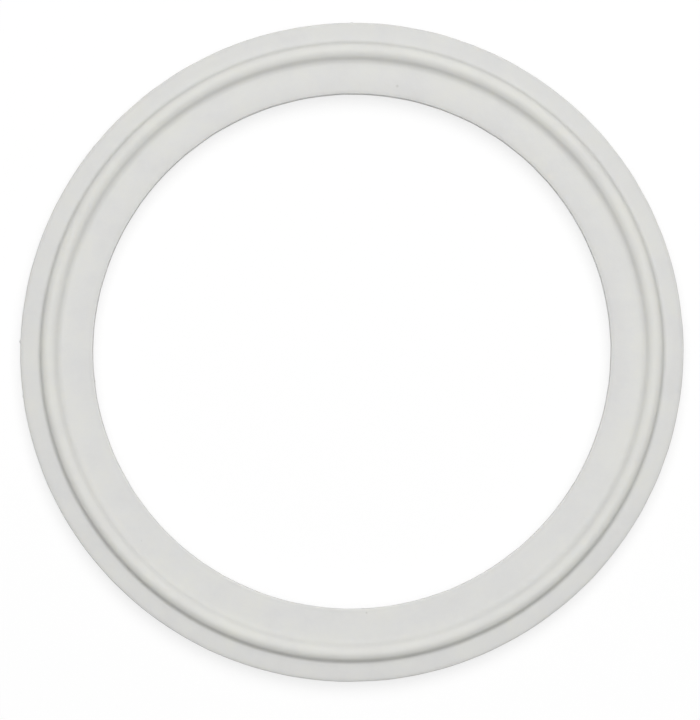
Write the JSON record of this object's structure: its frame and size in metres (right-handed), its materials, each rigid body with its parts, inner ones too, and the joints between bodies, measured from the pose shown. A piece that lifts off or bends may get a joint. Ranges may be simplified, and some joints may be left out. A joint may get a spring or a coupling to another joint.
{
  "type": "sanitary clamp gasket",
  "caption": "Flat white silicone ring seal with a round bead on each face, for the joint between two sanitary clamp ferrules.",
  "frame": {"origin": "centre of the ring, halfway through its thickness", "axes": "+Z along the ring's axis; the ring is the same both ways up and all the way round, so +X and +Y are free"},
  "size_m": [0.0775, 0.0774, 0.0036],
  "materials": {
    "silicone": "white silicone rubber, moulded, satin"
  },
  "bodies": {
    "root": {"clamp_gasket": "silicone"}
  },
  "joints": []
}
